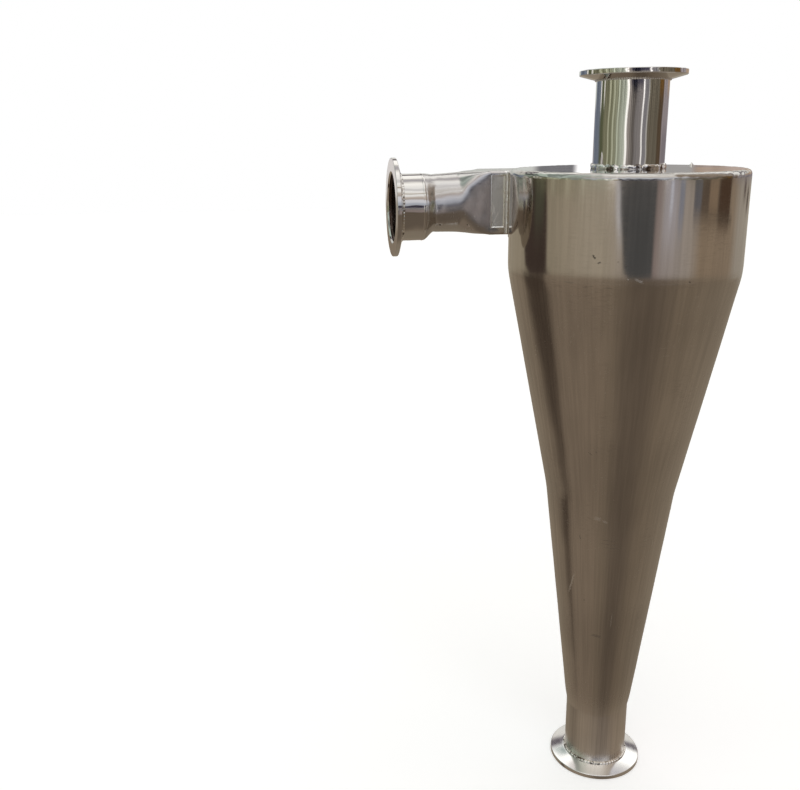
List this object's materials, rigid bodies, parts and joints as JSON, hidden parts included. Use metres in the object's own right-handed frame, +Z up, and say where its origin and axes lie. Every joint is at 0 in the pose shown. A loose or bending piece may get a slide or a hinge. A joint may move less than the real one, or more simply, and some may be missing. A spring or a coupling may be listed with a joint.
{
  "type": "cyclone separator",
  "caption": "Small stainless cyclone separator: short barrel with a tangential square-to-round inlet, a steep two-stage cone, and clamp flanges on inlet, outlet and dust pipes.",
  "frame": {"origin": "centre of the lower flange's sealing face, on which the separator stands", "axes": "+Z up along the barrel's axis, -X along the inlet duct towards the inlet flange, +Y towards the side on which the duct lies"},
  "size_m": [0.2515, 0.1826, 0.564],
  "materials": {
    "satin_steel": "satin, brushed along the cone",
    "barrel_steel": "semi-bright polished sheet",
    "polished_steel": "bright polished tube",
    "weld_bead": "shiny irregular weld",
    "ground_seam": "weld ground and polished"
  },
  "bodies": {
    "root": {"lower_flange": "polished_steel", "lower_flange_weld": "weld_bead", "dust_pipe": "satin_steel", "dust_pipe_weld": "ground_seam", "lower_cone": "satin_steel", "waist_weld": "ground_seam", "upper_cone": "satin_steel", "shoulder_weld": "ground_seam", "barrel": "barrel_steel", "top_plate": "barrel_steel", "top_plate_weld": "ground_seam", "weld_drop": "weld_bead", "outlet_pipe": "polished_steel", "outlet_pipe_weld": "weld_bead", "outlet_flange": "polished_steel", "outlet_flange_weld": "weld_bead", "inlet_flange": "polished_steel", "inlet_flange_weld": "weld_bead", "inlet_pipe": "polished_steel", "inlet_pipe_weld": "weld_bead", "inlet_transition": "polished_steel", "duct_front_wall": "barrel_steel", "duct_top_wall": "barrel_steel", "duct_bottom_wall": "barrel_steel", "duct_outer_wall": "barrel_steel", "duct_mouth_weld": "ground_seam", "duct_outer_weld": "ground_seam"}
  },
  "joints": []
}
